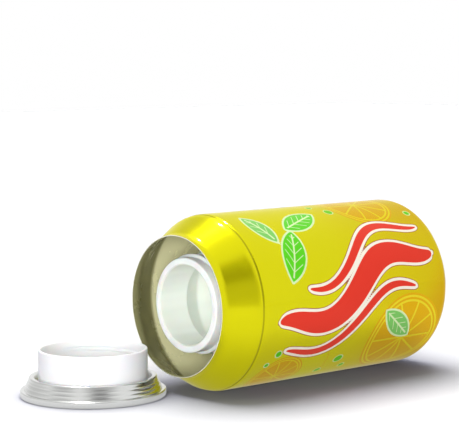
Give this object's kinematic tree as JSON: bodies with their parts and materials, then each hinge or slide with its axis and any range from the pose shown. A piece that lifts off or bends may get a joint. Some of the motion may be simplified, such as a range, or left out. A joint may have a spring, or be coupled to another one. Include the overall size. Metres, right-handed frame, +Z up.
{
  "type": "can diversion safe",
  "caption": "Drinks can on its side hiding a threaded jar, with its silver screw-off end and white cap standing upside down beside the open mouth.",
  "frame": {"origin": "centre of the bounding box's bottom face, on the surface that the can and its end stand on", "axes": "+X along the can's axis from its mouth to its base, +Y towards the side where the end stands, +Z up"},
  "size_m": [0.168, 0.082, 0.0662],
  "materials": {
    "can_enamel": "gloss",
    "end_metal": "polished",
    "tab_metal": "satin",
    "jar_plastic": "satin",
    "cap_plastic": "satin",
    "liner_foam": "matte",
    "glue": "satin",
    "ballast": "matte"
  },
  "bodies": {
    "can": {"can_body": "can_enamel", "inner_jar": "jar_plastic", "weight_fill": "ballast"},
    "lid": {"lid_end": "end_metal", "glue_disc": "glue", "screw_cap": "cap_plastic", "cap_liner": "liner_foam"},
    "tab": {"pull_tab": "tab_metal"}
  },
  "joints": [
    {"name": "lid_lift", "type": "slide", "parent": "can", "child": "lid", "axis": [-0.5792, -0.4056, 0.7071], "range_m": [0, 0.055]},
    {"name": "tab_swivel", "type": "hinge", "parent": "lid", "child": "tab", "pos_m": [-0.057, 0.01405, 0.0037], "axis": [0, 0, 1], "range_deg": [-180, 180]}
  ]
}
